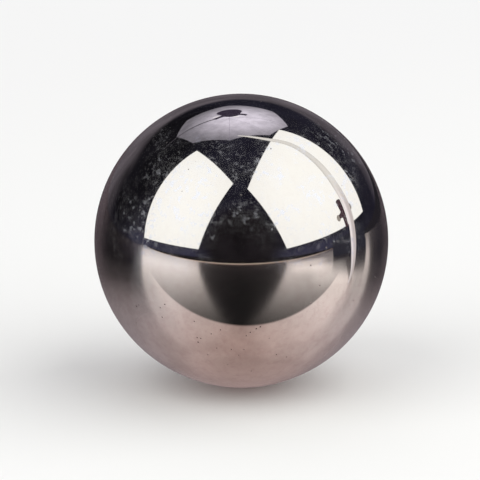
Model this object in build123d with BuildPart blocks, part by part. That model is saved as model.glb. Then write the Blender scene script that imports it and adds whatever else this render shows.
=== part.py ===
from build123d import *

import os

# A solid steel ball with a lapped mirror finish, made from one piece of steel.
# The origin is the centre of the ball and +Z is up, so the lowest point, where a
# dish, ring or socket holds it, is one radius below the origin.

# Driving dimension, in millimetres: the stock size of two inches
ball_diameter = 50.8

# Steel ball
with BuildPart() as steel_ball:
    Sphere(radius=ball_diameter / 2)

steel_ball.part.label = "steel_ball"

# Node file
os.makedirs("parts", exist_ok=True)
export_step(steel_ball.part, "parts/steel_ball.step")
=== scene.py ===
"""Looks of a polished steel ball, with the small photo studio that it mirrors.

Lengths are in metres, in the part's own frame: the ball's centre is the origin and +Z is up.
A direction is a bearing and a height in degrees, seen from the ball's centre. Bearing 0 points
to the camera's side, which is -Y, and 90 points along +X. Height is above the horizon.
"""

import logging
import math
import random
from dataclasses import dataclass
from enum import Enum
from typing import Any

import bmesh
import bpy
from mathutils import Matrix, Vector
from mathutils.kdtree import KDTree

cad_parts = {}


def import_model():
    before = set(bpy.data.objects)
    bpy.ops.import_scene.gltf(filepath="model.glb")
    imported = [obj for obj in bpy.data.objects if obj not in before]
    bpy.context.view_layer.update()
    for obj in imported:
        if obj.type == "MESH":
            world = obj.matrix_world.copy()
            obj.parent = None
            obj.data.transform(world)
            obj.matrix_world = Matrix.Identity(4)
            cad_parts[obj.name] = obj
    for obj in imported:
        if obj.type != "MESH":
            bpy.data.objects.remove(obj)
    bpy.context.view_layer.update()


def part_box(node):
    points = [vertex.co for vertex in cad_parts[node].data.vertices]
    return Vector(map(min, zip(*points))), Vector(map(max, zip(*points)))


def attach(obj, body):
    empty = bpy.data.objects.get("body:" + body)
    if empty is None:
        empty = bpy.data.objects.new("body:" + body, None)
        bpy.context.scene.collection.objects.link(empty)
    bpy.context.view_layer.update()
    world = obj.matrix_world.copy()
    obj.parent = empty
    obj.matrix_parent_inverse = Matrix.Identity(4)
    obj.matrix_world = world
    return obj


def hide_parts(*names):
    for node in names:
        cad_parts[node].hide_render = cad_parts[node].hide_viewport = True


log = logging.getLogger("steel_ball")

Colour = tuple[float, float, float]
Point = tuple[float, float, float]
Range = tuple[float, float]
Shape = bmesh.types.BMesh
Material = bpy.types.Material
Socket = bpy.types.NodeSocket
Input = Any  # a number, a colour or an output socket of another node


class SeenBy(Enum):
    """Which rays meet a staging piece."""

    EVERYTHING = "everything"
    MIRRORS = "mirrors"


@dataclass(frozen=True)
class Spot:
    """A round patch of directions with a soft edge."""

    bearing: float
    height: float
    inner: float  # degrees from its middle at which it starts to fade
    outer: float  # degrees from its middle at which it is gone


@dataclass(frozen=True)
class Pattern:
    """A cloudy pattern, cut to the part of its range that shows."""

    grain: float  # size of its largest patches, in metres
    detail: float  # octaves
    roughness: float  # weight of the finer octaves
    low: float  # value at which it starts to show
    high: float  # value at which it is full


@dataclass(frozen=True)
class Scatter:
    """Round grains strewn one to a cell, most of them tiny."""

    spacing: float  # size of a cell, in metres
    largest: float  # radius of the largest grain, in metres
    rarity: float  # power that makes large grains rare


def direction(bearing: float, height: float) -> Vector:
    """Gives the unit vector of a direction.

    Args:
        bearing: degrees from the camera's side towards +X.
        height: degrees above the horizon.

    Returns:
        The unit vector from the ball's centre.
    """
    b, h = math.radians(bearing), math.radians(height)
    return Vector((math.sin(b) * math.cos(h), -math.cos(b) * math.cos(h), math.sin(h)))


def facing_frame(centre: Vector, bearing: float, height: float, roll: float) -> Matrix:
    """Gives the place of a flat piece whose local +Z points away from the ball.

    Args:
        centre: where the piece's own origin goes.
        bearing: bearing of its local +Z.
        height: height of its local +Z.
        roll: turn about that axis, in degrees.

    Returns:
        The matrix from the piece's own frame to the part's frame.
    """
    away = direction(bearing, height)
    b = math.radians(bearing)
    across = Vector((math.cos(b), math.sin(b), 0.0))
    upward = away.cross(across)
    axes = Matrix((across, upward, away)).transposed().to_4x4()
    return Matrix.Translation(centre) @ axes @ Matrix.Rotation(math.radians(roll), 4, "Z")


def finished_object(name: str, bm: Shape, material: Material) -> bpy.types.Object:
    """Turns a bmesh into an object at the origin.

    Args:
        name: the object's name.
        bm: the shape, in the part's frame. It is freed here.
        material: its material.

    Returns:
        The linked object.
    """
    mesh = bpy.data.meshes.new(name)
    bm.to_mesh(mesh)
    bm.free()
    mesh.materials.append(material)
    made = bpy.data.objects.new(name, mesh)
    bpy.context.scene.collection.objects.link(made)
    return made


def set_stage(piece: bpy.types.Object, seen_by: SeenBy) -> None:
    """Says which rays meet a staging piece, and logs it.

    Args:
        piece: the floor, a backdrop or a light's face.
        seen_by: whether only mirrors meet it.
    """
    if seen_by is SeenBy.MIRRORS:
        piece.visible_camera = False
        piece.visible_diffuse = False
        piece.visible_shadow = False
        piece.visible_volume_scatter = False
    log.info("stage piece %s, met by %s", piece.name, seen_by.value)


def stage_mesh(name: str, bm: Shape, material: Material, seen_by: SeenBy = SeenBy.MIRRORS) -> None:
    """Makes a staging piece of a bmesh.

    Args:
        name: the piece's name.
        bm: the shape, in the part's frame. It is freed here.
        material: its material.
        seen_by: whether only mirrors meet it.
    """
    set_stage(finished_object(name, bm, material), seen_by)


def add_bar(bm: Shape, start: Vector, end: Vector, ends: Range, segments: int = 8) -> None:
    """Adds a round bar between two points.

    Args:
        bm: what it is added to.
        start: middle of its first end.
        end: middle of its other end.
        ends: its radius at the two ends.
        segments: flats round it.
    """
    along = end - start
    place = Matrix.Translation((start + end) / 2) @ along.to_track_quat("Z", "Y").to_matrix().to_4x4()
    bmesh.ops.create_cone(
        bm, segments=segments, radius1=ends[0], radius2=ends[1], depth=along.length,
        cap_ends=True, matrix=place,
    )


def hang_lamp(name: str, place: Matrix, size: tuple[float, ...], power: float, tint: Colour) -> None:
    """Hangs an area lamp that lights the scene and is neither seen nor mirrored.

    Args:
        name: the lamp's name.
        place: its place. It shines along its own -Z.
        size: its width and length, or a disc's diameter alone.
        power: its power, in watts.
        tint: its colour.
    """
    lamp = bpy.data.lights.new(name, "AREA")
    lamp.shape = "RECTANGLE" if len(size) == 2 else "DISK"
    lamp.size, lamp.size_y = size[0], size[-1]
    lamp.energy = power
    lamp.color = tint
    made = bpy.data.objects.new(name, lamp)
    made.matrix_world = place
    made.visible_camera = False
    made.visible_glossy = False
    bpy.context.scene.collection.objects.link(made)


class NodeBook:
    """Writes the nodes of one material or world."""

    def __init__(self, tree: bpy.types.NodeTree) -> None:
        """Starts with an empty tree."""
        self.tree = tree
        tree.nodes.clear()

    def node(self, kind: str, **settings: Any) -> bpy.types.Node:
        """Adds a node.

        Args:
            kind: its type name.
            settings: properties to set on it.

        Returns:
            The node.
        """
        made = self.tree.nodes.new(kind)
        for name, value in settings.items():
            setattr(made, name, value)
        return made

    def feed(self, socket: Socket, value: Input) -> None:
        """Links an output into a socket, or sets the socket to a number or colour.

        Args:
            socket: the input that is fed.
            value: a number, a colour or another node's output.
        """
        if isinstance(value, Socket):
            self.tree.links.new(value, socket)
        elif isinstance(value, tuple) and len(value) == 3 and socket.type == "RGBA":
            socket.default_value = (*value, 1.0)
        else:
            socket.default_value = value

    def math(self, operation: str, *values: Input) -> Socket:
        """Adds a Math node.

        Args:
            operation: what it does.
            values: what it works on.

        Returns:
            Its output.
        """
        made = self.node("ShaderNodeMath", operation=operation)
        for socket, value in zip(made.inputs, values):
            self.feed(socket, value)
        return made.outputs[0]

    def product(self, first: Input, *others: Input) -> Socket:
        """Multiplies values.

        Args:
            first: the first value.
            others: the rest of them.

        Returns:
            Their product.
        """
        for other in others:
            first = self.math("MULTIPLY", first, other)
        return first

    def remap(self, value: Input, low: Input, high: Input, to: Range = (0.0, 1.0)) -> Socket:
        """Maps a range smoothly onto another.

        Args:
            value: what is mapped.
            low: where the range starts.
            high: where it ends.
            to: what the two ends become.

        Returns:
            The mapped value.
        """
        made = self.node("ShaderNodeMapRange", interpolation_type="SMOOTHSTEP")
        names = ("Value", "From Min", "From Max", "To Min", "To Max")
        for name, given in zip(names, (value, low, high, *to)):
            self.feed(made.inputs[name], given)
        return made.outputs["Result"]

    def blend(self, share: Input, a: Input, b: Input) -> Socket:
        """Mixes two colours.

        Args:
            share: how much of the second colour there is.
            a: first colour.
            b: second colour.

        Returns:
            The mixed colour.
        """
        made = self.node("ShaderNodeMix", data_type="RGBA")
        self.feed(made.inputs[0], share)
        self.feed(made.inputs[6], a)
        self.feed(made.inputs[7], b)
        return made.outputs[2]

    def vector(self, operation: str, *values: Input) -> Socket:
        """Adds a Vector Math node.

        Args:
            operation: what it does.
            values: what it works on.

        Returns:
            Its number where the operation gives one, and else its vector.
        """
        made = self.node("ShaderNodeVectorMath", operation=operation)
        for socket, value in zip(made.inputs, values):
            self.feed(socket, value)
        return made.outputs["Value" if operation in ("LENGTH", "DISTANCE", "DOT_PRODUCT") else "Vector"]

    def inside(self, unit: Input, spot: Spot, to: Range = (0.0, 1.0)) -> Socket:
        """Tells the directions inside a spot from those outside.

        Args:
            unit: the direction, as a unit vector.
            spot: the round patch.
            to: what the outside and the inside become.

        Returns:
            The mapped value.
        """
        near = self.vector("DOT_PRODUCT", unit, tuple(direction(spot.bearing, spot.height)))
        edge, full = (math.cos(math.radians(angle)) for angle in (spot.outer, spot.inner))
        return self.remap(near, edge, full, to)

    def split(self, vector: Input) -> tuple[Socket, ...]:
        """Gives the X, Y and Z of a vector.

        Args:
            vector: the vector.

        Returns:
            Its three numbers.
        """
        made = self.node("ShaderNodeSeparateXYZ")
        self.feed(made.inputs[0], vector)
        return tuple(made.outputs)

    def glow(self, colour: Input, strength: Input = 1.0) -> Socket:
        """Adds an even glow of a colour.

        Args:
            colour: its colour.
            strength: its strength.

        Returns:
            The shader.
        """
        made = self.node("ShaderNodeEmission")
        self.feed(made.inputs["Color"], colour)
        self.feed(made.inputs["Strength"], strength)
        return made.outputs[0]

    def layered(self, share: Input, under: Input, over: Input) -> Socket:
        """Mixes two shaders.

        Args:
            share: how much of the second there is.
            under: the first shader.
            over: the second shader.

        Returns:
            The mixed shader.
        """
        made = self.node("ShaderNodeMixShader")
        for socket, value in zip(made.inputs, (share, under, over)):
            self.feed(socket, value)
        return made.outputs[0]

    def added(self, first: Input, second: Input) -> Socket:
        """Adds two shaders.

        Args:
            first: the first shader.
            second: the second shader.

        Returns:
            Their sum.
        """
        made = self.node("ShaderNodeAddShader")
        for socket, value in zip(made.inputs, (first, second)):
            self.feed(socket, value)
        return made.outputs[0]

    def surface(self, shader: Input) -> None:
        """Hands the shader to the material's surface."""
        made = self.node("ShaderNodeOutputMaterial")
        self.feed(made.inputs["Surface"], shader)

    def shown(self) -> Socket:
        """Tells rays that show a backdrop, seen straight, mirrored or through glass, from the others.

        Returns:
            1 for the rays that show it and 0 for the others.
        """
        path = self.node("ShaderNodeLightPath")
        seen = self.math("MAXIMUM", path.outputs["Is Camera Ray"], path.outputs["Is Glossy Ray"])
        return self.math("MAXIMUM", seen, path.outputs["Is Transmission Ray"])

    def noise(self, where: Input, pattern: Pattern, to: Range = (0.0, 1.0)) -> Socket:
        """Adds a Noise texture.

        Args:
            where: coordinates, in metres.
            pattern: its grain and the part of its range that shows.
            to: what the two ends of that part become.

        Returns:
            The mapped value.
        """
        made = self.node("ShaderNodeTexNoise")
        self.feed(made.inputs["Vector"], where)
        self.feed(made.inputs["Scale"], 1.0 / pattern.grain)
        self.feed(made.inputs["Detail"], pattern.detail)
        self.feed(made.inputs["Roughness"], pattern.roughness)
        return self.remap(made.outputs["Fac"], pattern.low, pattern.high, to)

    def grains(self, where: Input, strewn: Scatter) -> Socket:
        """Scatters round grains.

        Args:
            where: coordinates, in metres.
            strewn: how the grains lie and how large they are.

        Returns:
            1 inside a grain and 0 outside.
        """
        least, core = 0.0001, 0.5  # smallest radius, in cells, and share of the radius without any fade
        cells = self.node("ShaderNodeTexVoronoi", feature="F1")
        self.feed(cells.inputs["Vector"], where)
        self.feed(cells.inputs["Scale"], 1.0 / strewn.spacing)
        draw = self.node("ShaderNodeSeparateColor")
        self.feed(draw.inputs[0], cells.outputs["Color"])
        share = self.math("POWER", draw.outputs[0], strewn.rarity)
        radius = self.math("MULTIPLY_ADD", share, strewn.largest / strewn.spacing, least)
        return self.remap(cells.outputs["Distance"], self.product(radius, core), radius, to=(1.0, 0.0))


def new_material(name: str) -> tuple[Material, NodeBook]:
    """Makes an empty node material, whose glow, if it gets one, lights nothing.

    Args:
        name: the material's name.

    Returns:
        The material and the book that writes its nodes.
    """
    made = bpy.data.materials.new(name)
    made.use_nodes = True
    made.cycles.emission_sampling = "NONE"
    return made, NodeBook(made.node_tree)


def glow_material(name: str, colour: Colour) -> Material:
    """Makes an even glow for a staging piece.

    Args:
        name: the material's name.
        colour: its colour.

    Returns:
        The material.
    """
    made, book = new_material(name)
    book.surface(book.glow(colour))
    return made


@dataclass(frozen=True)
class PolishedSteel:
    """Lapped steel with dust on its upper half, faint stains, hairlines and a few dark specks."""

    radius: float
    clean: Colour = (0.65, 0.63, 0.61)
    stained: Colour = (0.565, 0.510, 0.500)
    dusty: Colour = (0.55, 0.60, 0.76)
    pitted: Colour = (0.22, 0.185, 0.18)
    polish: float = 0.03
    stain_roughness: float = 0.02
    scratch_roughness: float = 0.05
    dust_roughness: float = 0.06
    pit_roughness: float = 0.45
    dust_tint: float = 0.6  # how much of the dust's colour a full cover of it gives
    dust_dullness: float = 0.13  # how much of the mirror a full cover of dust takes
    dust_haze: float = 0.95  # weight of the film that a full cover of dust gives
    haze: float = 0.05  # weight of the film that softly spreads the panels' light, where no dust lies
    haze_roughness: float = 0.36
    haze_density: float = 2.35
    turn_heights: Range = (0.22, -0.30)  # where the upper half's finish turns to the lower's, in radii
    dust_fade: Range = (0.45, 0.05)  # share of that height over which the dust fades, and what is left
    stain_above: float = 0.22  # share of the stains on the upper half
    lay: Point = (0.25, 0.12, 0.4)  # turn about X, Y and Z of what is drawn out, in radians
    patches: Pattern = Pattern(0.0100, 5.0, 0.62, 0.46, 0.72)
    mottle: Pattern = Pattern(0.0012, 4.0, 0.68, 0.46, 0.66)
    wiping: Pattern = Pattern(0.0013, 2.0, 0.60, 0.40, 0.64)
    wiping_shrunk: float = 0.10
    stain_shares: tuple[float, float, float] = (0.36, 0.42, 0.22)  # of the patches, mottle and wiping
    scratches: Pattern = Pattern(0.00022, 1.0, 0.50, 0.70, 0.78)
    scratches_shrunk: float = 0.03
    clouds: Pattern = Pattern(0.0050, 4.0, 0.62, 0.38, 0.58)
    flecks: Pattern = Pattern(0.0010, 2.0, 0.66, 0.50, 0.68)
    flecks_cover: float = 0.88
    film: Pattern = Pattern(0.0030, 5.0, 0.70, 0.38, 0.66)
    film_cover: float = 0.16
    singles: Scatter = Scatter(0.0016, 0.00013, 4.0)
    singles_cover: float = 0.7
    specks: Scatter = Scatter(0.0024, 0.00024, 6.0)
    specks_depth: float = 0.7
    nick_walls: Range = (0.5, 1.0)  # range of the nick mark over which the dark starts
    # spots where the dust thins to almost nothing
    dust_free_spots: tuple[Spot, ...] = (
        Spot(0.0, 7.5, 6.0, 14.0),
        Spot(-80.0, 12.0, 14.0, 28.0),
        Spot(78.0, 8.0, 18.0, 32.0),
        Spot(0.0, 84.0, 25.0, 35.0),
        Spot(-73.0, 38.0, 5.0, 21.0),
    )
    dust_left_in_spots: float = 0.03

    def stain(self, book: NodeBook, where: Input, low_side: Input) -> Socket:
        """Gives the share of stain, which shows mostly on the lower half.

        Args:
            book: writes the nodes.
            where: coordinates, in metres.
            low_side: 0 on the upper half and 1 on the lower.

        Returns:
            The share.
        """
        patches, mottle, wiping = self.stain_shares
        upright = self.drawn_out(book, where, self.wiping_shrunk)
        whole = book.product(book.noise(upright, self.wiping), wiping)
        whole = book.math("MULTIPLY_ADD", book.noise(where, self.mottle), mottle, whole)
        whole = book.math("MULTIPLY_ADD", book.noise(where, self.patches), patches, whole)
        return book.product(whole, book.remap(low_side, 0.0, 1.0, to=(self.stain_above, 1.0)))

    def drawn_out(self, book: NodeBook, where: Input, shrunk: float) -> Socket:
        """Gives coordinates that draw a pattern out nearly upright.

        Args:
            book: writes the nodes.
            where: coordinates, in metres.
            shrunk: what lengths along the lay are multiplied by.

        Returns:
            The coordinates.
        """
        lay = book.node("ShaderNodeMapping")
        book.feed(lay.inputs["Vector"], where)
        lay.inputs["Rotation"].default_value = self.lay
        lay.inputs["Scale"].default_value = (1.0, 1.0, shrunk)
        return lay.outputs[0]

    def gathering(self, book: NodeBook, where: Input) -> Socket:
        """Gives where dust gathers: in soft clouds, with a few spots between them where it thins to
        almost nothing.

        Args:
            book: writes the nodes.
            where: coordinates, in metres.

        Returns:
            The share.
        """
        lying = book.noise(where, self.clouds)
        unit = book.vector("NORMALIZE", where)
        for spot in self.dust_free_spots:
            lying = book.product(lying, book.inside(unit, spot, to=(1.0, self.dust_left_in_spots)))
        return lying

    def dust(self, book: NodeBook, where: Input, low_side: Input) -> Socket:
        """Gives the share of dust: film and curled flecks in clouds, with single grains between them.

        Args:
            book: writes the nodes.
            where: coordinates, in metres.
            low_side: 0 on the upper half and 1 on the lower.

        Returns:
            The share.
        """
        flecks = book.noise(where, self.flecks, to=(0.0, self.flecks_cover))
        film = book.product(book.noise(where, self.film), self.film_cover)
        clouds = book.product(book.math("MAXIMUM", film, flecks), self.gathering(book, where))
        singles = book.product(book.grains(where, self.singles), self.singles_cover)
        share, left = self.dust_fade
        fade = book.remap(low_side, 0.0, share, to=(1.0, left))
        return book.product(book.math("MAXIMUM", clouds, singles), fade)

    def pits(self, book: NodeBook, where: Input) -> Socket:
        """Gives the share of dark pit, in the cut nicks and in specks between them.

        Args:
            book: writes the nodes.
            where: coordinates, in metres.

        Returns:
            The share.
        """
        specks = book.product(book.grains(where, self.specks), self.specks_depth)
        nicks = book.node("ShaderNodeAttribute", attribute_name="nick").outputs["Fac"]
        both = book.math("MAXIMUM", specks, book.remap(nicks, *self.nick_walls))
        return book.math("MINIMUM", both, 1.0)

    def dress(self) -> Material:
        """Writes the material.

        Returns:
            The finished material.
        """
        made, book = new_material("polished_steel")
        where = book.node("ShaderNodeTexCoord").outputs["Object"]
        _, _, z = book.split(where)
        low_side = book.remap(z, *(height * self.radius for height in self.turn_heights))
        stain = self.stain(book, where, low_side)
        dust = self.dust(book, where, low_side)
        pits = self.pits(book, where)
        scratch = book.noise(self.drawn_out(book, where, self.scratches_shrunk), self.scratches)

        steel = book.blend(stain, self.clean, self.stained)
        steel = book.blend(book.product(dust, self.dust_tint), steel, self.dusty)
        steel = book.blend(pits, steel, self.pitted)
        rough = book.math("MULTIPLY_ADD", stain, self.stain_roughness, self.polish)
        rough = book.math("MULTIPLY_ADD", scratch, self.scratch_roughness, rough)
        rough = book.math("MULTIPLY_ADD", dust, self.dust_roughness, rough)
        rough = book.math("MAXIMUM", rough, book.product(pits, self.pit_roughness))
        film = book.math("MULTIPLY_ADD", dust, self.dust_haze - self.haze, self.haze)

        body = book.node("ShaderNodeBsdfPrincipled")
        book.feed(body.inputs["Base Color"], steel)
        book.feed(body.inputs["Metallic"], book.math("MULTIPLY_ADD", dust, -self.dust_dullness, 1.0))
        book.feed(body.inputs["Roughness"], rough)
        book.feed(body.inputs["Coat Weight"], film)
        book.feed(body.inputs["Coat Roughness"], self.haze_roughness)
        book.feed(body.inputs["Coat IOR"], self.haze_density)
        book.surface(body.outputs[0])
        return made


@dataclass(frozen=True)
class Nick:
    """A small dark nick in the ball's surface."""

    bearing: float
    height: float
    width: float
    depth: float = 0.00004


@dataclass
class SteelBall:
    """The ball itself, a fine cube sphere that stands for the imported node."""

    radius: float
    node: str = "steel_ball"
    squares: int = 112  # along each side of the six patches
    nicks: tuple[Nick, ...] = (
        Nick(-46.1, -16.1, 0.00022),
        Nick(-44.3, -15.7, 0.00019),
        Nick(-50.3, -24.5, 0.00021),
        Nick(-30.6, -12.5, 0.00019),
        Nick(-33.3, -14.9, 0.00017),
        Nick(-33.4, -18.7, 0.00016),
        Nick(-18.8, -26.8, 0.00021),
        Nick(-17.2, -26.5, 0.00019),
        Nick(-18.8, -28.8, 0.00023),
        Nick(-18.8, -19.0, 0.00013),
        Nick(-12.3, -24.0, 0.00016),
        Nick(-8.2, -21.5, 0.00013),
        Nick(-10.5, -31.6, 0.00015),
        Nick(-4.8, -31.3, 0.00015),
        Nick(1.6, -31.6, 0.00013),
        Nick(2.3, -24.1, 0.00017),
        Nick(3.9, -22.6, 0.00019),
        Nick(6.4, -21.2, 0.00021),
        Nick(7.4, -20.1, 0.00017),
        Nick(-0.9, -34.6, 0.00013),
        Nick(-7.0, -41.0, 0.00013),
        Nick(-16.0, -35.7, 0.00016),
        Nick(5.2, -46.3, 0.00018),
        Nick(16.1, -35.2, 0.00020),
        Nick(22.2, -37.5, 0.00018),
    )
    strays: int = 34  # further nicks, drawn by a seeded random
    stray_widths: Range = (0.00010, 0.00020)
    seed: int = 7
    nick_taper: float = 0.3  # how far each wall of a nick leans in, in widths
    patch_margin: float = 0.01  # empty edge of each patch of the UV map, in patches

    def build(self) -> None:
        """Builds, dresses and seats the ball."""
        bm = bmesh.new()
        bmesh.ops.create_cube(bm, size=2.0)
        bmesh.ops.subdivide_edges(bm, edges=bm.edges[:], cuts=self.squares - 1, use_grid_fill=True)
        self.lay_out_patches(bm)
        self.swell_to_sphere(bm)
        self.cut_nicks(bm)
        for face in bm.faces:
            face.smooth = True
        made = finished_object("ball", bm, PolishedSteel(self.radius).dress())
        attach(made, "root")
        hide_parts(self.node)
        log.info("ball: %d faces, radius %.4f m", len(made.data.polygons), self.radius)

    def lay_out_patches(self, bm: Shape) -> None:
        """Gives each side of the cube its own rectangle of the UV map, three across and two up.

        Args:
            bm: the cube, cut into squares.
        """
        layer = bm.loops.layers.uv.new("OFBake")
        half = 0.5 * (1 - self.patch_margin)
        for face in bm.faces:
            normal = face.normal
            axis = max(range(3), key=lambda k: abs(normal[k]))
            patch = 2 * axis + (normal[axis] > 0)
            first, second = (axis + 1) % 3, (axis + 2) % 3
            for loop in face.loops:
                u = 0.5 + half * loop.vert.co[first]
                v = 0.5 + half * loop.vert.co[second]
                loop[layer].uv = ((patch % 3 + u) / 3, (patch // 3 + v) / 2)

    def swell_to_sphere(self, bm: Shape) -> None:
        """Moves each vertex of the cube to the sphere, so that the squares come out even.

        Args:
            bm: the cube, cut into squares.
        """
        for vert in bm.verts:
            even = Vector([math.tan(c * math.pi / 4) for c in vert.co])
            vert.co = even.normalized() * self.radius

    def cut_nicks(self, bm: Shape) -> None:
        """Sinks small nicks into single squares, each in a guard ring that keeps the shine round it.

        Args:
            bm: the ball.
        """
        layer = bm.verts.layers.float.new("nick")
        draw = random.Random(self.seed)
        wanted = list(self.nicks)
        for _ in range(self.strays):
            bearing, height = draw.uniform(-180, 180), math.degrees(math.asin(draw.uniform(-1, 1)))
            wanted.append(Nick(bearing, height, draw.uniform(*self.stray_widths)))
        squares = bm.faces[:]
        tree = KDTree(len(squares))
        for index, face in enumerate(squares):
            tree.insert(face.calc_center_median(), index)
        tree.balance()
        chosen = {}
        for nick in wanted:
            _, index, _ = tree.find(direction(nick.bearing, nick.height) * self.radius)
            chosen[index] = nick
        for index, nick in chosen.items():
            face = squares[index]
            guard = (math.sqrt(face.calc_area()) - nick.width) / 2
            for inwards, down in ((guard, 0.0), (nick.width * self.nick_taper, -nick.depth)):
                bmesh.ops.inset_individual(
                    bm, faces=[face], thickness=inwards, depth=down, use_even_offset=True
                )
                for vert in face.verts:
                    vert[layer] = 1.0


@dataclass(frozen=True)
class LightPanel:
    """A soft panel of light: its cloth is mirrored, and an area lamp in its place gives the light."""

    name: str
    bearing: float
    height: float
    distance: float
    faces_bearing: float
    faces_height: float
    roll: float
    width: float
    length: float
    radiance: float = 1.49
    tint: Colour = (1.0, 1.0, 0.965)
    even_to: float = 0.15  # distance from the cloth's middle, in cloth widths, at which it starts to dim
    dimmest_at: float = 0.75
    dimmest: float = 0.94

    def place(self) -> Matrix:
        """Gives the panel's place."""
        centre = direction(self.bearing, self.height) * self.distance
        return facing_frame(centre, self.faces_bearing, self.faces_height, self.roll)

    def cloth(self) -> Material:
        """Writes the glowing cloth, a little dimmer towards its edges.

        Returns:
            The material.
        """
        made, book = new_material(f"{self.name}_cloth")
        middle = (0.5, 0.5, 0.0)
        off = book.vector("DISTANCE", book.node("ShaderNodeTexCoord").outputs["UV"], middle)
        fall = book.remap(off, self.even_to, self.dimmest_at, to=(1.0, self.dimmest))
        book.surface(book.glow(self.tint, book.product(fall, self.radiance)))
        return made

    def build(self) -> None:
        """Builds the mirrored cloth and the lamp."""
        bm = bmesh.new()
        layer = bm.loops.layers.uv.new("UVMap")
        bmesh.ops.create_grid(bm, x_segments=1, y_segments=1, size=0.5, calc_uvs=False)
        for face in bm.faces:
            for loop in face.loops:
                loop[layer].uv = (loop.vert.co.x + 0.5, loop.vert.co.y + 0.5)
        bmesh.ops.scale(bm, vec=(self.width, self.length, 1.0), verts=bm.verts)
        bmesh.ops.transform(bm, matrix=self.place(), verts=bm.verts)
        stage_mesh(self.name, bm, self.cloth())
        power = self.radiance * math.pi * self.width * self.length
        hang_lamp(f"{self.name}_lamp", self.place(), (self.width, self.length), power, self.tint)


@dataclass(frozen=True)
class ReflectorDome:
    """The eight-sided cloth reflector that hangs above and behind the ball, with its lamp head."""

    bearing: float = 189.6
    height: float = 53.5
    distance: float = 1.05
    faces_bearing: float = 180.9
    faces_height: float = 83.5
    turn: float = -1.0
    radius: float = 0.5
    depth: float = 0.10
    ribs: int = 8
    head: Vector = Vector((-0.04, 0.055, -0.23))  # middle of the lamp head in the dome's own frame
    head_radius: float = 0.068
    head_taper: float = 0.75
    head_length: float = 0.12
    lug_ends: tuple[Point, ...] = (  # root and tip of each, from the head's middle
        (0.0, 0.02, 0.0), (0.094, 0.080, 0.0),
        (0.0, 0.01, 0.0), (-0.094, 0.050, 0.0),
    )
    lug_radius: float = 0.015
    glints: tuple[Point, ...] = ((0.080, 0.050, -0.02), (-0.037, 0.100, -0.02))
    glint_reach: Vector = Vector((0.016, 0.0, 0.0))
    glint_radius: float = 0.007
    stay_end: Vector = Vector((0.80, -0.02, 0.10))
    stay_radius: float = 0.0075
    seam_radius: float = 0.0014
    middle: float = 1.14  # glow at the brightest part of the cloth
    rim: float = 0.27  # glow at the part furthest from it
    brightest: Vector = Vector((-0.22, 0.03, 0.0))  # in dome radii
    fall_off: Range = (0.15, 1.12)  # in dome radii from there
    folds: Pattern = Pattern(0.22, 4.0, 0.60, 0.3, 0.7)
    fold_shades: Range = (0.84, 1.14)
    lavender: Colour = (0.91, 0.86, 1.0)
    thread: Colour = (0.36, 0.32, 0.42)
    dark: Colour = (0.050, 0.038, 0.066)
    stay_glow: Colour = (0.085, 0.078, 0.092)
    glint_glow: Colour = (1.30, 1.25, 1.30)
    lamp_tint: Colour = (0.95, 0.94, 1.0)

    def place(self) -> Matrix:
        """Gives the dome's place."""
        centre = direction(self.bearing, self.height) * self.distance
        return facing_frame(centre, self.faces_bearing, self.faces_height, self.turn)

    def cloth(self) -> Material:
        """Writes the dome's pale lavender cloth, brightest near its middle.

        Returns:
            The material.
        """
        made, book = new_material("dome_cloth")
        where = book.node("ShaderNodeTexCoord").outputs["UV"]
        off = book.vector("DISTANCE", where, tuple(self.brightest))
        fall = book.remap(off, *self.fall_off, to=(self.middle, self.rim))
        folds = book.noise(where, self.folds, to=self.fold_shades)
        book.surface(book.glow(self.lavender, book.product(fall, folds)))
        return made

    def tip_angle(self, rib: int) -> float:
        """Gives the direction of a rib in the dome's own plane, in radians."""
        return math.tau * rib / self.ribs

    def bowl(self) -> Shape:
        """Shapes the cloth: flat panels between straight ribs that rise towards the middle.

        Returns:
            The bowl in the dome's own frame.
        """
        bm = bmesh.new()
        layer = bm.loops.layers.uv.new("UVMap")
        bmesh.ops.create_circle(bm, cap_ends=True, cap_tris=True, segments=self.ribs, radius=1.0)
        bmesh.ops.subdivide_edges(bm, edges=bm.edges[:], cuts=7, use_grid_fill=True)
        half = math.pi / self.ribs
        sides = [self.tip_angle(rib) + half for rib in range(self.ribs)]
        normals = [Vector((math.cos(a), math.sin(a))) / math.cos(half) for a in sides]
        for face in bm.faces:
            for loop in face.loops:
                loop[layer].uv = loop.vert.co.xy
        for vert in bm.verts:
            out = max(vert.co.xy.dot(n) for n in normals)
            vert.co.z = self.depth / self.radius * (1.0 - out * out)
        bmesh.ops.scale(bm, vec=(self.radius, self.radius, self.radius), verts=bm.verts)
        return bm

    def put_up(self, name: str, bm: Shape, material: Material) -> None:
        """Moves a piece from the dome's own frame to its place and stages it."""
        bmesh.ops.transform(bm, matrix=self.place(), verts=bm.verts)
        stage_mesh(name, bm, material)

    def build_seams(self) -> None:
        """Builds the sewn seams along the ribs."""
        apex = Vector((0.0, 0.0, self.depth))
        bm = bmesh.new()
        for rib in range(self.ribs):
            angle = self.tip_angle(rib)
            tip = Vector((math.cos(angle), math.sin(angle), 0.0)) * self.radius
            add_bar(bm, apex, tip, (self.seam_radius, self.seam_radius))
        self.put_up("dome_seams", bm, glow_material("dome_thread", self.thread))

    def build_head(self) -> None:
        """Builds the dark lamp head with a lug on either side, two glints and the stay that holds it."""
        bm = bmesh.new()
        bmesh.ops.create_cone(
            bm, segments=24, radius1=self.head_radius, radius2=self.head_radius * self.head_taper,
            depth=self.head_length, cap_ends=True, matrix=Matrix.Translation(self.head),
        )
        left_root, left_tip, right_root, right_tip = (self.head + Vector(end) for end in self.lug_ends)
        add_bar(bm, left_root, left_tip, (self.lug_radius, self.lug_radius))
        add_bar(bm, right_root, right_tip, (self.lug_radius, self.lug_radius))
        self.put_up("dome_head", bm, glow_material("dome_fittings", self.dark))

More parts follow.
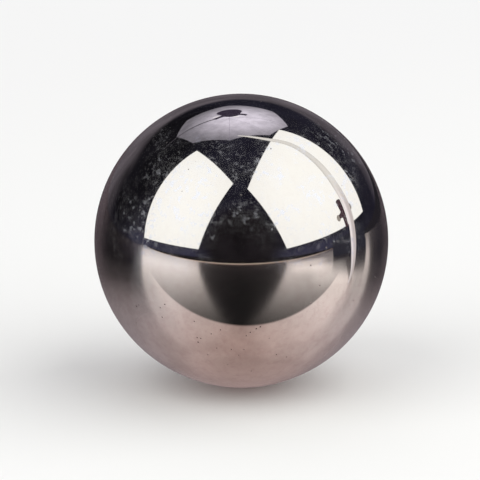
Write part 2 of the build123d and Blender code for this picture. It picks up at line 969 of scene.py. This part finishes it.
        glints = bmesh.new()
        for glint in self.glints:
            middle = self.head + Vector(glint)
            ends = (self.glint_radius, self.glint_radius)
            add_bar(glints, middle - self.glint_reach, middle + self.glint_reach, ends)
        self.put_up("dome_glints", glints, glow_material("dome_glint", self.glint_glow))

        stay = bmesh.new()
        add_bar(stay, left_tip, self.stay_end, (self.stay_radius, self.stay_radius))
        self.put_up("dome_stay", stay, glow_material("dome_stay", self.stay_glow))

    def build(self) -> None:
        """Builds the dome, its seams, its lamp head and its lamp."""
        self.put_up("reflector_dome", self.bowl(), self.cloth())
        self.build_seams()
        self.build_head()
        power = (self.middle + self.rim) / 2 * math.pi * math.pi * self.radius**2
        hang_lamp("dome_lamp", self.place(), (2 * self.radius,), power, self.lamp_tint)


@dataclass(frozen=True)
class Tone:
    """A soft round patch of one colour on the room's walls."""

    spot: Spot
    colour: Colour


@dataclass(frozen=True)
class DarkRoom:
    """The unlit room round the studio table, which only mirrors meet."""

    radius: float = 3.4
    ceiling: Colour = (0.018, 0.017, 0.029)
    low_band: Colour = (0.048, 0.047, 0.084)
    band_heights: Range = (0.16, 0.04)  # as Z of the direction
    wall_heights: Range = (0.42, 0.30)  # as Z of the direction, too
    band_front: Range = (0.30, -0.10)  # as Y of the direction
    back_wall: Tone = Tone(Spot(-174.0, 0.0, 12.0, 50.0), (0.142, 0.124, 0.142))
    tones: tuple[Tone, ...] = (
        Tone(Spot(-128.0, 30.0, 22.0, 46.0), (0.0090, 0.0085, 0.0115)),
        Tone(Spot(0.0, 9.0, 20.0, 38.0), (0.0135, 0.0115, 0.0135)),
    )
    patchy: Pattern = Pattern(0.6, 4.0, 0.50, 0.3, 0.7)
    patch_shades: Range = (0.75, 1.25)

    def paint(self) -> Material:
        """Writes the room's dim glow, which is greyer on the back wall and close to the horizon.

        Returns:
            The material.
        """
        made, book = new_material("dark_room")
        where = book.node("ShaderNodeTexCoord").outputs["Object"]
        unit = book.vector("NORMALIZE", where)
        _, y, z = book.split(unit)
        low = book.product(book.remap(z, *self.band_heights), book.remap(y, *self.band_front))
        colour = book.blend(low, self.ceiling, self.low_band)
        for tone in self.tones:
            colour = book.blend(book.inside(unit, tone.spot), colour, tone.colour)
        behind = book.product(book.inside(unit, self.back_wall.spot), book.remap(z, *self.wall_heights))
        colour = book.blend(behind, colour, self.back_wall.colour)
        book.surface(book.glow(colour, book.noise(where, self.patchy, to=self.patch_shades)))
        return made

    def build(self) -> None:
        """Builds the room as one round shell that faces inwards."""
        bm = bmesh.new()
        bmesh.ops.create_icosphere(bm, subdivisions=5, radius=self.radius)
        bmesh.ops.reverse_faces(bm, faces=bm.faces)
        for face in bm.faces:
            face.smooth = True
        stage_mesh("dark_room", bm, self.paint())


@dataclass(frozen=True)
class PipeStop:
    """A point on the middle line of the stand's pipe, and the pipe's radius there."""

    x: float
    y: float
    z: float
    radius: float


@dataclass(frozen=True)
class LightStand:
    """The right panel's stand: a low dark foot on the desk and a pale bent pipe with a clamp."""

    desk_level: float
    foot_bearing: float = 88.9
    foot_turn: float = 24.0  # how much further round its face points than it stands
    foot_distance: float = 0.25
    foot_width: float = 0.174
    foot_height: float = 0.046
    foot_depth: float = 0.040
    foot_glow: Colour = (0.030, 0.030, 0.044)
    # painted light on the pipe: pipe_lit is a painted highlight on the lit side of its lower part,
    # pipe_low is the rest of its lower part and pipe_high its upper part
    pipe_lit: Colour = (1.42, 1.32, 1.34)
    pipe_low: Colour = (0.84, 0.76, 0.75)
    pipe_high: Colour = (1.15, 1.12, 1.06)
    edge_shades: Range = (0.70, 1.0)  # at the pipe's edges, as the ball sees it, and inside
    edge_width: float = 0.70  # how squarely the pipe faces the ball where the shade ends, up to 1
    lit_side: Range = (-0.75, 0.15)  # as Y of the pipe's normal
    lit_heights: Range = (0.03, 0.09)
    clamp_glow: Colour = (0.085, 0.048, 0.062)
    knob_glow: Colour = (0.44, 0.40, 0.36)
    route: tuple[PipeStop, ...] = (
        PipeStop(0.0591, -0.0135, -0.0214, 0.0006),
        PipeStop(0.0774, -0.0101, -0.0202, 0.0018),
        PipeStop(0.1022, -0.0075, -0.0134, 0.0043),
        PipeStop(0.1183, -0.0040, 0.0043, 0.0060),
        PipeStop(0.1262, 0.0015, 0.0260, 0.0070),
        PipeStop(0.1278, 0.0062, 0.0527, 0.0080),
        PipeStop(0.1362, 0.0104, 0.0810, 0.0090),
        PipeStop(0.1487, 0.0247, 0.1287, 0.0106),
        PipeStop(0.1632, 0.0477, 0.2074, 0.0116),
        PipeStop(0.1633, 0.0794, 0.3313, 0.0120),
        PipeStop(0.1320, 0.0840, 0.4730, 0.0118),
        PipeStop(0.0600, 0.1150, 0.6250, 0.0100),
        PipeStop(-0.0230, 0.1550, 0.7520, 0.0040),
    )
    jaw_top: Vector = Vector((0.1321, -0.0086, 0.0574))
    jaw_end: Vector = Vector((0.1299, -0.0109, 0.0209))
    near_knob: Vector = Vector((0.1346, -0.0238, 0.0378))
    far_knob: Vector = Vector((0.1500, 0.0168, 0.0447))
    jaw_ends: Range = (0.0062, 0.0034)  # radii of the jaw and, next, of the screw
    screw_ends: Range = (0.0048, 0.0024)
    knob_radius: float = 0.0048

    def foot(self) -> Shape:
        """Shapes the foot, a low block that stands on the desk and faces the ball.

        Returns:
            The foot, in its place.
        """
        bm = bmesh.new()
        bmesh.ops.create_cube(bm, size=1.0)
        bmesh.ops.scale(bm, vec=(self.foot_width, self.foot_height, self.foot_depth), verts=bm.verts)
        centre = direction(self.foot_bearing, 0.0) * (self.foot_distance + self.foot_depth / 2)
        centre.z = self.desk_level + self.foot_height / 2
        place = facing_frame(centre, self.foot_bearing + self.foot_turn, 0.0, 0.0)
        bmesh.ops.transform(bm, matrix=place, verts=bm.verts)
        return bm

    def pipe(self) -> bpy.types.Object:
        """Bends the pipe along its route.

        Returns:
            The pipe's object.
        """
        line = bpy.data.curves.new("stand_pipe", "CURVE")
        line.dimensions = "3D"
        line.bevel_depth = 1.0  # so that each point's radius is the pipe's own
        line.bevel_resolution = 4
        spline = line.splines.new("NURBS")
        spline.points.add(len(self.route) - 1)
        for point, stop in zip(spline.points, self.route):
            point.co = (stop.x, stop.y, stop.z, 1.0)
            point.radius = stop.radius
        spline.order_u = 3
        spline.use_endpoint_u = True
        made = bpy.data.objects.new("stand_pipe", line)
        bpy.context.scene.collection.objects.link(made)
        return made

    def pipe_painted_light(self) -> Material:
        """Writes the pipe's glow, painted light on a pale pipe: painted shade where it turns from the
        ball, and a painted highlight on one side below.

        Returns:
            The material.
        """
        made, book = new_material("stand_pipe_painted_light")
        where = book.node("ShaderNodeTexCoord").outputs["Object"]
        _, _, z = book.split(where)
        normal = book.node("ShaderNodeNewGeometry").outputs["Normal"]
        # painted shade: the glow dims where the pipe turns from the ball
        unit = book.vector("NORMALIZE", where)
        facing = book.math("ABSOLUTE", book.vector("DOT_PRODUCT", unit, normal))
        shade = book.remap(facing, 0.0, self.edge_width, to=self.edge_shades)
        # painted highlight: the lower pipe glows brighter on its side that faces -Y
        _, back, _ = book.split(normal)
        low = book.blend(book.remap(back, *self.lit_side), self.pipe_lit, self.pipe_low)
        book.surface(book.glow(book.blend(book.remap(z, *self.lit_heights), low, self.pipe_high), shade))
        return made

    def clamp(self) -> Shape:
        """Shapes the clamp's jaw along the pipe and the short screw that ends in its near knob.

        Returns:
            The clamp, in its place.
        """
        bm = bmesh.new()
        middle = (self.jaw_top + self.jaw_end) / 2
        add_bar(bm, self.jaw_top, self.jaw_end, self.jaw_ends, segments=10)
        add_bar(bm, middle, self.near_knob, self.screw_ends, segments=10)
        return bm

    def knobs(self) -> Shape:
        """Shapes the clamp's two round knobs, one on either side of the pipe.

        Returns:
            The knobs, in their places.
        """
        bm = bmesh.new()
        for middle in (self.near_knob, self.far_knob):
            place = Matrix.Translation(middle)
            bmesh.ops.create_icosphere(bm, subdivisions=2, radius=self.knob_radius, matrix=place)
        return bm

    def build(self) -> None:
        """Builds the foot, the pipe and the clamp."""
        stage_mesh("stand_foot", self.foot(), glow_material("stand_foot", self.foot_glow))
        pipe = self.pipe()
        pipe.data.materials.append(self.pipe_painted_light())
        set_stage(pipe, SeenBy.MIRRORS)
        stage_mesh("stand_clamp", self.clamp(), glow_material("stand_clamp", self.clamp_glow))
        stage_mesh("stand_knobs", self.knobs(), glow_material("stand_knobs", self.knob_glow))


def lay_sheet(
    name: str, low: Vector, high: Vector, material: Material, seen_by: SeenBy = SeenBy.MIRRORS
) -> None:
    """Lays a flat level sheet, or stands an upright one that runs along X.

    Args:
        name: the sheet's name.
        low: its lowest corner.
        high: its highest corner, which shares one of Y and Z with the lowest.
        material: its finish.
        seen_by: which rays meet it.
    """
    bm = bmesh.new()
    bmesh.ops.create_grid(bm, x_segments=1, y_segments=1, size=0.5)
    size = high - low
    if size.z > 0:
        upright = Matrix.Rotation(math.radians(90), 3, "X")
        bmesh.ops.rotate(bm, cent=(0, 0, 0), matrix=upright, verts=bm.verts)
    bmesh.ops.scale(bm, vec=(size.x, size.y or 1.0, size.z or 1.0), verts=bm.verts)
    bmesh.ops.translate(bm, vec=(high + low) / 2, verts=bm.verts)
    stage_mesh(name, bm, material, seen_by)


@dataclass(frozen=True)
class PaleFloor:
    """The pale matt floor, which blends into the pale world far from the ball."""

    level: float
    reach: float = 4.0
    pale: Colour = (0.87, 0.87, 0.865)
    far_off: Colour = (0.93, 0.93, 0.93)
    fade_from: float = 0.10
    fade_to: float = 0.55

    def build(self) -> None:
        """Lays the floor."""
        made, book = new_material("pale_floor")
        matt = book.node("ShaderNodeBsdfDiffuse")
        book.feed(matt.inputs["Color"], self.pale)
        away = book.vector("LENGTH", book.node("ShaderNodeTexCoord").outputs["Object"])
        share = book.product(book.remap(away, self.fade_from, self.fade_to), book.shown())
        book.surface(book.layered(share, matt.outputs[0], book.glow(self.far_off)))
        low = Vector((-self.reach, -self.reach, self.level))
        high = Vector((self.reach, self.reach, self.level))
        lay_sheet("pale_floor", low, high, made, SeenBy.EVERYTHING)


@dataclass(frozen=True)
class Spill:
    """A patch of panel light on the desk, in a spot of bearings and over distances in ball radii."""

    spot: Spot
    start: float  # where it starts
    full: float  # where it is full
    fade: float  # where it starts to fade
    gone: float  # where it is gone
    colour: Colour


@dataclass(frozen=True)
class GlossyDesk:
    """The dark glossy desk with a fawn field under the ball, which mirrors meet in place of the floor.

    Where no other unit is named, lengths are in ball radii, and a range runs from where a share is none
    to where it is full.
    """

    ball_radius: float
    reach: float = 3.5  # in metres, as are the next four
    near_edge: float = 0.41
    corner: Range = (0.16, 0.25)  # where the cut corner on the right at the back starts
    lip: float = 0.004
    lift: float = 0.00004
    dark: Colour = (0.003, 0.003, 0.003)
    fawn: Colour = (0.13, 0.100, 0.094)
    # painted light: the fawn field's glow, warm in front and greyer further off, stands for the lamps'
    # light on it
    warm_glow: Colour = (0.45, 0.312, 0.277)
    grey_glow: Colour = (0.37, 0.318, 0.336)
    lit_glow: Colour = (0.37, 0.318, 0.290)
    shade: Colour = (0.10, 0.085, 0.085)
    # painted highlight: the lip's glow is the desk's front edge catching the light
    lip_glow: Colour = (0.66, 0.52, 0.43)
    beyond: Colour = (0.0135, 0.0115, 0.0130)
    beyond_corner: Colour = (0.020, 0.018, 0.023)
    shine: Colour = (1.0, 0.90, 0.89)
    shine_roughness: float = 0.23
    shine_power: float = 1.8  # how late the shine comes as the desk is seen flatter
    shine_most: float = 0.95
    shine_straight: Range = (0.012, 0.08)  # share seen straight, and what the fawn adds
    grain: Pattern = Pattern(0.012, 5.0, 0.65, 0.3, 0.7)
    grain_shades: Range = (0.90, 1.10)
    warmest: float = -1.2  # where the warm glow's middle lies, along Y
    warm_range: Range = (0.0, 1.9)
    field_front: float = 1.40
    field_slants: Range = (0.08, 0.044)  # of its front, left and right of the ball
    field_blur: float = 0.035
    field_middle: float = -0.15  # along X
    field_body: Range = (3.0, 1.0)
    field_tail: Range = (5.5, 2.0)
    field_shares: Range = (0.76, 0.24)  # of the body and the tail
    strip_inner: Range = (0.0, 2.0)
    strip_outer: Range = (4.2, 2.8)
    strip_back: Range = (-0.65, -1.1)
    strip_slant: float = -0.2
    strip_right: Range = (-0.3, 1.4)  # where the light turns stronger, along X
    strip_strengths: Range = (0.93, 0.92)  # on the left, and what the right adds
    streak_slant: float = 0.096
    streak_offset: float = 0.126
    streak_width: float = 0.050  # for each length along X
    streak_core: float = 0.3  # share of its width that is evenly dark
    streak_start: Range = (2.6, 3.4)
    streak_end: Range = (9.0, 6.0)
    streak_depth: float = 0.62
    spills: tuple[Spill, ...] = (
        Spill(Spot(-58.0, 0.0, 8.0, 30.0), 0.0, 9.0, 60.0, 90.0, (0.34, 0.350, 0.365)),
        Spill(Spot(50.0, 0.0, 4.0, 18.0), 4.0, 7.2, 10.0, 17.0, (0.46, 0.418, 0.390)),
        Spill(Spot(66.0, 0.0, 5.0, 20.0), 2.4, 4.0, 5.5, 8.5, (0.25, 0.232, 0.218)),
    )

    def within(self, book: NodeBook, value: Input, none: float, full: float) -> Socket:
        """Gives 0 to 1 as a length on the desk goes from one number of ball radii to another."""
        return book.remap(value, none * self.ball_radius, full * self.ball_radius)

    def front(self, book: NodeBook, where: Input) -> Socket:
        """Gives 1 behind the straight line that ends the fawn field in front of the ball, and else 0.

        Args:
            book: writes the nodes.
            where: coordinates, in metres.

        Returns:
            The share.
        """
        x, y, _ = book.split(where)
        slant = book.math("MINIMUM", *(book.product(x, steepness) for steepness in self.field_slants))
        ahead = book.math("SUBTRACT", y, slant)
        front, blur = -self.field_front, self.field_blur
        return self.within(book, ahead, front - blur, front + blur)

    def field(self, book: NodeBook, where: Input) -> Socket:
        """Gives the share of fawn, which is full under the ball and fades all round.

        Args:
            book: writes the nodes.
            where: coordinates, in metres.

        Returns:
            The share.
        """
        middle = (self.field_middle * self.ball_radius, 0.0, -self.ball_radius)
        off = book.vector("DISTANCE", where, middle)
        body, tail = (self.within(book, off, *reach) for reach in (self.field_body, self.field_tail))
        of_body, of_tail = self.field_shares
        around = book.math("MULTIPLY_ADD", tail, of_tail, book.product(body, of_body))
        return book.product(self.front(book, where), around)

    def lit_strip(self, book: NodeBook, where: Input) -> Socket:
        """Gives the light that the panels throw on the field's front, on either side of the ball.

        Args:
            book: writes the nodes.
            where: coordinates, in metres.

        Returns:
            Its strength.
        """
        x, y, _ = book.split(where)
        side = book.math("ABSOLUTE", x)
        left, more = self.strip_strengths
        return book.product(
            self.front(book, where),
            self.within(book, side, *self.strip_inner),
            self.within(book, side, *self.strip_outer),
            self.within(book, book.math("MULTIPLY_ADD", x, self.strip_slant, y), *self.strip_back),
            book.math("MULTIPLY_ADD", self.within(book, x, *self.strip_right), more, left),
        )

    def spill(self, book: NodeBook, where: Input, patch: Spill) -> Socket:
        """Gives the glow of one patch of panel light.

        Args:
            book: writes the nodes.
            where: coordinates, in metres.
            patch: where it lies, and its colour.

        Returns:
            The shader.
        """
        off = book.vector("LENGTH", where)
        unit = book.vector("NORMALIZE", book.vector("MULTIPLY", where, (1.0, 1.0, 0.0)))
        lies = book.product(
            book.inside(unit, patch.spot),
            self.within(book, off, patch.start, patch.full),
            self.within(book, off, patch.gone, patch.fade),
        )
        return book.glow(patch.colour, lies)

    def streak(self, book: NodeBook, where: Input) -> Socket:
        """Gives the narrow shade that the light stand's pipe throws along the desk.

        Args:
            book: writes the nodes.
            where: coordinates, in metres.

        Returns:
            The share.
        """
        x, y, _ = book.split(where)
        line = book.math("MULTIPLY_ADD", x, self.streak_slant, y)
        off = book.math("ABSOLUTE", book.math("ADD", line, self.streak_offset * self.ball_radius))
        wide = book.product(x, self.streak_width)
        across = book.remap(off, wide, book.product(wide, self.streak_core))
        start, end = (self.within(book, x, *reach) for reach in (self.streak_start, self.streak_end))
        return book.product(across, start, end, self.streak_depth)

    def finish(self) -> Material:
        """Writes the desk, which shines the more the flatter it is seen.

        Returns:
            The material.
        """
        made, book = new_material("glossy_desk")
        where = book.node("ShaderNodeTexCoord").outputs["Object"]
        field = self.field(book, where)
        grain = book.noise(where, self.grain, to=self.grain_shades)
        matt = book.node("ShaderNodeBsdfDiffuse")
        book.feed(matt.inputs["Color"], book.blend(field, self.dark, self.fawn))
        # the field's glow is painted light: the lamps' light on the fawn mat, laid on evenly with no
        # shadow of the ball in it
        warmest = (0.0, self.warmest * self.ball_radius, -self.ball_radius)
        away = book.vector("DISTANCE", where, warmest)
        hue = book.blend(self.within(book, away, *self.warm_range), self.warm_glow, self.grey_glow)
        body = book.added(matt.outputs[0], book.glow(hue, book.product(field, grain)))
        body = book.added(body, book.glow(self.lit_glow, self.lit_strip(book, where)))
        shine = book.node("ShaderNodeBsdfGlossy")
        book.feed(shine.inputs["Color"], self.shine)
        book.feed(shine.inputs["Roughness"], self.shine_roughness)
        facing = book.node("ShaderNodeLayerWeight")
        facing.inputs["Blend"].default_value = 0.5
        flat = book.math("POWER", facing.outputs["Facing"], self.shine_power)
        straight, on_fawn = self.shine_straight
        share = book.math("MULTIPLY_ADD", field, on_fawn, straight)
        share = book.math("MINIMUM", book.math("MULTIPLY_ADD", flat, self.shine_most, share), 1.0)
        whole = book.layered(share, body, shine.outputs[0])
        for patch in self.spills:
            whole = book.added(whole, self.spill(book, where, patch))
        book.surface(book.layered(self.streak(book, where), whole, book.glow(self.shade)))
        return made

    def build(self) -> None:
        """Lays the desk, its bright front lip and the darkness in front of it and at its cut corner."""
        far, edge, top = self.reach, -self.near_edge, self.lift - self.ball_radius
        above = top + self.lift
        side, back = self.corner
        lip = glow_material("desk_lip", self.lip_glow)
        dark = glow_material("beyond_desk", self.beyond)
        dark_corner = glow_material("beyond_desk_corner", self.beyond_corner)
        for name, low, high, material in (
            ("glossy_desk", (-far, edge, top), (far, far, top), self.finish()),
            ("desk_lip", (-far, edge, top), (far, edge, top + self.lip), lip),
            ("beyond_desk", (-far, -far, top), (far, edge, top), dark),
            ("beyond_desk_corner", (side, back, above), (far, far, above), dark_corner),
        ):
            lay_sheet(name, Vector(low), Vector(high), material)


@dataclass(frozen=True)
class Surroundings:
    """The world: pale where it is seen or mirrored, and a soft fill for matt surfaces."""

    pale: Colour = (0.93, 0.93, 0.93)
    fill: Colour = (0.38, 0.38, 0.39)

    def build(self) -> None:
        """Writes the world's nodes."""
        world = bpy.data.worlds.new("pale_world")
        bpy.context.scene.world = world
        world.use_nodes = True
        book = NodeBook(world.node_tree)
        sky = book.node("ShaderNodeBackground")
        book.feed(sky.inputs["Color"], book.blend(book.shown(), self.fill, self.pale))
        out = book.node("ShaderNodeOutputWorld")
        book.feed(out.inputs["Surface"], sky.outputs[0])


@dataclass(frozen=True)
class PhotoCamera:
    """A long lens that frames the ball as the photograph does."""

    ball_radius: float
    frame_pixels: float = 480.0
    disc_radius: float = 147.0  # pixels in the photograph, as are the next two
    disc_right: float = 1.3
    disc_down: float = 0.6
    height: float = 14.0
    distance: float = 0.5
    sensor: float = 36.0

    def build(self) -> None:
        """Places the camera and makes it the scene's."""
        data = bpy.data.cameras.new("photo_camera")
        made = bpy.data.objects.new("photo_camera", data)
        bpy.context.scene.collection.objects.link(made)
        rim = math.asin(self.ball_radius / self.distance)
        focal_pixels = self.disc_radius / math.tan(rim)
        data.sensor_width = self.sensor
        data.lens = focal_pixels / self.frame_pixels * self.sensor
        back = direction(0.0, self.height)
        turn = (-back).to_track_quat("-Z", "Y")
        pan = Matrix.Rotation(math.atan(self.disc_right / focal_pixels), 4, "Y")
        tilt = Matrix.Rotation(math.atan(self.disc_down / focal_pixels), 4, "X")
        square_on = Matrix.Translation(back * self.distance) @ turn.to_matrix().to_4x4()
        made.matrix_world = square_on @ pan @ tilt
        data.clip_start, data.clip_end = 0.01, 20.0
        bpy.context.scene.camera = made


def studio_panels() -> tuple[LightPanel, LightPanel]:
    """Gives the two soft panels, one upright on the left and one lying on the right.

    Returns:
        The left panel and the right panel.
    """
    left = LightPanel(
        "left_panel", bearing=-53.9, height=39.4, distance=1.44,
        faces_bearing=-65.2, faces_height=30.3, roll=2.8, width=1.40, length=1.788,
    )
    right = LightPanel(
        "right_panel", bearing=72.3, height=47.7, distance=1.054,
        faces_bearing=77.0, faces_height=29.2, roll=0.5, width=1.80, length=1.444,
    )
    return left, right


def main() -> None:
    """Builds the ball and its studio in order, sized from the imported ball."""
    logging.basicConfig(level=logging.INFO, format="%(name)s: %(message)s")
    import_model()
    low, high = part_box("steel_ball")
    radius = (high[2] - low[2]) / 2

    SteelBall(radius).build()
    PaleFloor(-radius).build()
    GlossyDesk(radius).build()
    DarkRoom().build()
    for panel in studio_panels():
        panel.build()
    ReflectorDome().build()
    LightStand(-radius).build()
    Surroundings().build()
    PhotoCamera(radius).build()

    bpy.context.scene.view_settings.view_transform = "Standard"


if __name__ == "__main__":
    main()
